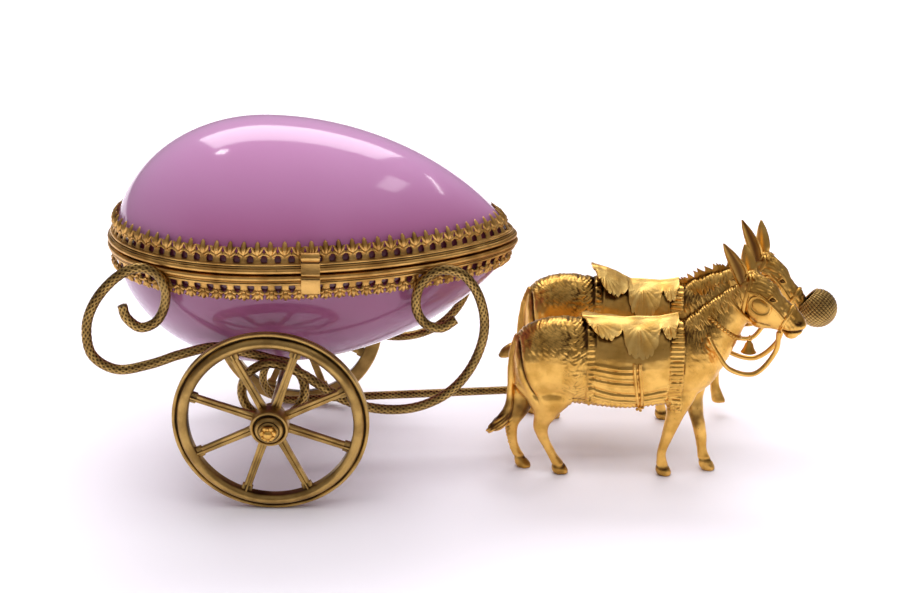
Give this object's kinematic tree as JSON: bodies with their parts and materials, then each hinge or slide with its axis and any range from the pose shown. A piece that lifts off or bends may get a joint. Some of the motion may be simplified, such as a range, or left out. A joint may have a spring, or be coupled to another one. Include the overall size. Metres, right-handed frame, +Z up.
{
  "type": "opaline glass egg casket on a donkey cart",
  "caption": "Opaline glass egg casket with a hinged lid, carried on a gilt two-wheeled cart drawn by gilt donkeys.",
  "frame": {"origin": "centre of the whole group's box, on the surface that it stands on", "axes": "+X runs forward along the draught pole to the donkeys, +Y points to the hinge side, +Z is up"},
  "size_m": [0.2864, 0.1218, 0.134],
  "materials": {
    "opaline_glass": "polished milky lilac-pink opaline",
    "rim_gilt": "gilt, worn, dark in the recesses",
    "antique_gilt": "antique gilt, knurled and toned",
    "bright_gilt": "bright gilt, chased, brown in the recesses"
  },
  "bodies": {
    "root": {"egg_base_glass": "opaline_glass", "base_rim_ring": "rim_gilt", "base_leaf_gallery": "rim_gilt", "hinge_base_leaf": "rim_gilt", "hinge_pin": "rim_gilt", "clasp_base_plate": "rim_gilt", "near_side_frame": "antique_gilt", "far_side_frame": "antique_gilt", "near_hub_nut": "bright_gilt", "far_hub_nut": "bright_gilt", "axle": "antique_gilt", "draught_pole": "antique_gilt", "pole_crossbar": "antique_gilt", "near_donkey": "bright_gilt", "far_donkey": "bright_gilt", "near_leaf_saddle": "bright_gilt", "far_leaf_saddle": "bright_gilt", "near_girth_wire": "bright_gilt", "far_girth_wire": "bright_gilt", "near_rein_left": "bright_gilt", "near_rein_right": "bright_gilt", "far_rein_left": "bright_gilt", "far_rein_right": "bright_gilt", "near_neck_bell": "bright_gilt", "far_neck_bell": "bright_gilt", "muzzle_basket": "antique_gilt"},
    "lid": {"egg_lid_glass": "opaline_glass", "lid_rim_ring": "rim_gilt", "lid_leaf_gallery": "rim_gilt", "hinge_lid_leaf": "rim_gilt", "clasp_lid_catch": "rim_gilt"},
    "wheel_near": {"near_wheel": "antique_gilt"},
    "wheel_far": {"far_wheel": "antique_gilt"}
  },
  "joints": [
    {"name": "lid_hinge", "type": "hinge", "parent": "root", "child": "lid", "pos_m": [-0.0806, 0.0517, 0.08935], "axis": [-0.9998, 0, 0.0174], "range_deg": [0, 95]},
    {"name": "wheel_near_spin", "type": "hinge", "parent": "root", "child": "wheel_near", "pos_m": [-0.0779, -0.05039, 0.03493], "axis": [-0.0539, -0.9952, -0.0819], "continuous": true},
    {"name": "wheel_far_spin", "type": "hinge", "parent": "root", "child": "wheel_far", "pos_m": [-0.07244, 0.05039, 0.03493], "axis": [0.0539, 0.9952, -0.0819], "continuous": true}
  ]
}
